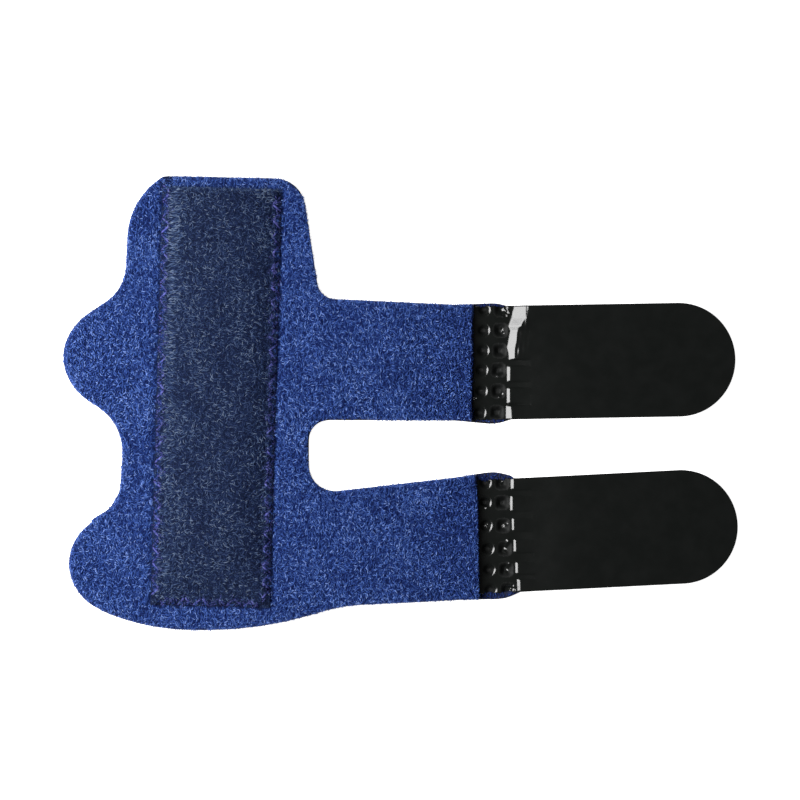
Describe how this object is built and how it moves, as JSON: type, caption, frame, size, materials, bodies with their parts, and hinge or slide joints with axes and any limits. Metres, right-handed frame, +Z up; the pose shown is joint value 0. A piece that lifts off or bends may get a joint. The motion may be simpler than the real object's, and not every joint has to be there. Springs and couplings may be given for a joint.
{
  "type": "finger splint",
  "caption": "Open one-finger splint lying flat: soft lobed panel with a sewn stay pocket and two straps that end in welded hook tabs.",
  "frame": {"origin": "on the table, under the middle of the splint's bounds", "axes": "+X runs along the straps towards the hook tabs, +Y along the finger towards the pocket's mouth, +Z up from the table"},
  "size_m": [0.1122, 0.0756, 0.0048],
  "materials": {
    "foam_backing": "matt black foam",
    "blue_loop": "brushed loop pile",
    "navy_loop": "brushed loop pile",
    "black_hook": "smooth moulded back"
  },
  "bodies": {
    "root": {"body_backing": "foam_backing", "body_facing": "blue_loop", "stay_pocket": "navy_loop", "upper_hook_tab": "black_hook", "lower_hook_tab": "black_hook"}
  },
  "joints": []
}
